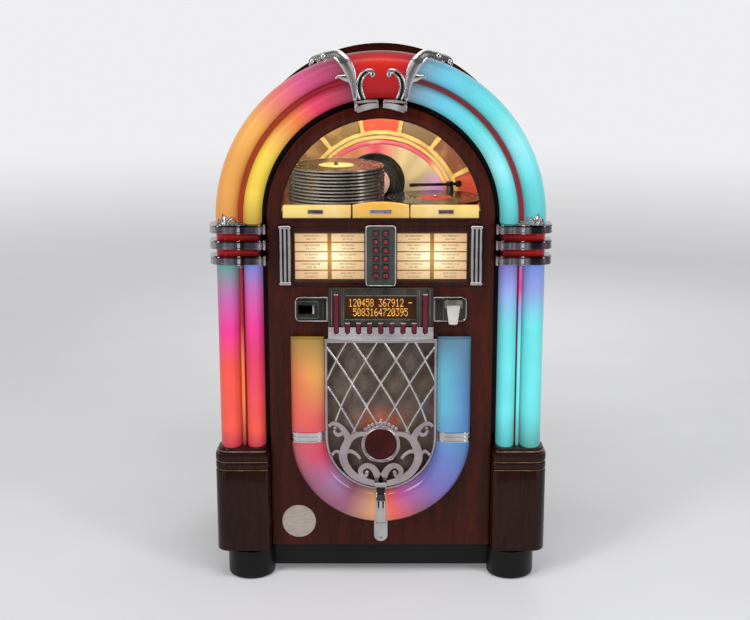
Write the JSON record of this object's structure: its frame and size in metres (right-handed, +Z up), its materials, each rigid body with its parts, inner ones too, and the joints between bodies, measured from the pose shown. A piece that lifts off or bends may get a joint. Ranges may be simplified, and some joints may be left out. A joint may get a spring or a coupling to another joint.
{
  "type": "jukebox",
  "caption": "Arch-topped jukebox with a hinged lit front door, keypad, coin plates, lattice grille and a record mechanism behind a window.",
  "frame": {"origin": "on the floor, under the middle of the whole object", "axes": "+Z up, -Y out of the front door, +X to the right as seen from the front"},
  "size_m": [0.946, 0.7, 1.5209],
  "materials": {
    "walnut": "satin varnish",
    "dark_wood": "satin varnish",
    "black_board": "matt black paint",
    "chrome": "polished",
    "warm_lens": "lit moulded plastic, orange to magenta",
    "cool_lens": "lit moulded plastic, turquoise to violet",
    "red_plastic": "lit moulded plastic",
    "window_glass": "clear",
    "cream_plastic": "lit cream plastic",
    "black_plastic": "satin",
    "amber_screen": "lit amber display",
    "gold_relief": "gold paint",
    "vinyl": "pressed vinyl",
    "grey_steel": "satin grey",
    "ivory_plastic": "moulded"
  },
  "bodies": {
    "cabinet": {"amplifier": "black_plastic", "back_panel": "black_board", "base_board": "black_board", "cabinet_shell": "walnut", "deck_base": "grey_steel", "hinge_cabinet_leaf": "chrome", "magazine_drive": "grey_steel", "mechanism_shelf": "black_board", "player_stand": "grey_steel", "plinth_and_feet": "black_plastic", "scenic_relief": "gold_relief"},
    "front_door": {"arch_lens_left": "warm_lens", "arch_lens_right": "cool_lens", "coin_entry_plate": "chrome", "coin_mechanism": "grey_steel", "coin_return_plate": "chrome", "column_base_left": "dark_wood", "column_base_right": "dark_wood", "column_cap_left": "chrome", "column_cap_right": "chrome", "column_lens_left": "warm_lens", "column_lens_right": "cool_lens", "crown_lens": "red_plastic", "crown_scrolls": "chrome", "display_bars": "red_plastic", "display_housing": "grey_steel", "display_screen": "amber_screen", "door_frame": "black_board", "front_panel": "walnut", "grille": "chrome", "grille_clip": "chrome", "grille_lens": "warm_lens", "hinge_door_leaf": "chrome", "keypad_housing": "black_plastic", "loudspeaker": "black_plastic", "sill_light_cover": "cream_plastic", "speaker_baffle": "black_board", "title_light_box": "cream_plastic", "title_trim_left": "chrome", "title_trim_right": "chrome", "window_glass": "window_glass"},
    "magazine": {"record_magazine": "vinyl"},
    "upright_record": {"playing_record": "vinyl", "player_clamp": "chrome"},
    "platter": {"deck_platter": "grey_steel", "deck_record": "vinyl"},
    "arm": {"tone_arm": "chrome"},
    "return_flap": {"coin_return_flap": "ivory_plastic"},
    "key_01": {"key_01": "red_plastic"},
    "key_02": {"key_02": "red_plastic"},
    "key_03": {"key_03": "red_plastic"},
    "key_04": {"key_04": "red_plastic"},
    "key_05": {"key_05": "red_plastic"},
    "key_06": {"key_06": "red_plastic"},
    "key_07": {"key_07": "red_plastic"},
    "key_08": {"key_08": "red_plastic"},
    "key_09": {"key_09": "red_plastic"},
    "key_10": {"key_10": "red_plastic"},
    "key_11": {"key_11": "red_plastic"},
    "key_12": {"key_12": "red_plastic"}
  },
  "joints": [
    {"name": "door_swing", "type": "hinge", "parent": "cabinet", "child": "front_door", "pos_m": [-0.4585, -0.2365, 0.555], "axis": [0, 0, -1], "range_deg": [0, 100]},
    {"name": "magazine_turn", "type": "hinge", "parent": "cabinet", "child": "magazine", "pos_m": [-0.128, -0.064, 1.12], "axis": [0, 0, 1], "continuous": true},
    {"name": "upright_record_spin", "type": "hinge", "parent": "cabinet", "child": "upright_record", "pos_m": [-0.017, 0.079, 1.101], "axis": [0, 1, 0], "continuous": true},
    {"name": "platter_spin", "type": "hinge", "parent": "cabinet", "child": "platter", "pos_m": [0.158, -0.038, 1.07], "axis": [0, 0, 1], "continuous": true},
    {"name": "arm_swing", "type": "hinge", "parent": "cabinet", "child": "arm", "pos_m": [0.205, 0.106, 1.0863], "axis": [0, 0, 1], "range_deg": [0, 38]},
    {"name": "return_flap_push", "type": "hinge", "parent": "front_door", "child": "return_flap", "pos_m": [0.203, -0.317, 0.812], "axis": [-1, 0, 0], "range_deg": [0, 50]},
    {"name": "key_01_press", "type": "slide", "parent": "front_door", "child": "key_01", "axis": [0, 1, 0], "range_m": [0, 0.0025], "stiffness_N_per_m": 200},
    {"name": "key_02_press", "type": "slide", "parent": "front_door", "child": "key_02", "axis": [0, 1, 0], "range_m": [0, 0.0025], "stiffness_N_per_m": 200},
    {"name": "key_03_press", "type": "slide", "parent": "front_door", "child": "key_03", "axis": [0, 1, 0], "range_m": [0, 0.0025], "stiffness_N_per_m": 200},
    {"name": "key_04_press", "type": "slide", "parent": "front_door", "child": "key_04", "axis": [0, 1, 0], "range_m": [0, 0.0025], "stiffness_N_per_m": 200},
    {"name": "key_05_press", "type": "slide", "parent": "front_door", "child": "key_05", "axis": [0, 1, 0], "range_m": [0, 0.0025], "stiffness_N_per_m": 200},
    {"name": "key_06_press", "type": "slide", "parent": "front_door", "child": "key_06", "axis": [0, 1, 0], "range_m": [0, 0.0025], "stiffness_N_per_m": 200},
    {"name": "key_07_press", "type": "slide", "parent": "front_door", "child": "key_07", "axis": [0, 1, 0], "range_m": [0, 0.0025], "stiffness_N_per_m": 200},
    {"name": "key_08_press", "type": "slide", "parent": "front_door", "child": "key_08", "axis": [0, 1, 0], "range_m": [0, 0.0025], "stiffness_N_per_m": 200},
    {"name": "key_09_press", "type": "slide", "parent": "front_door", "child": "key_09", "axis": [0, 1, 0], "range_m": [0, 0.0025], "stiffness_N_per_m": 200},
    {"name": "key_10_press", "type": "slide", "parent": "front_door", "child": "key_10", "axis": [0, 1, 0], "range_m": [0, 0.0025], "stiffness_N_per_m": 200},
    {"name": "key_11_press", "type": "slide", "parent": "front_door", "child": "key_11", "axis": [0, 1, 0], "range_m": [0, 0.0025], "stiffness_N_per_m": 200},
    {"name": "key_12_press", "type": "slide", "parent": "front_door", "child": "key_12", "axis": [0, 1, 0], "range_m": [0, 0.0025], "stiffness_N_per_m": 200}
  ]
}
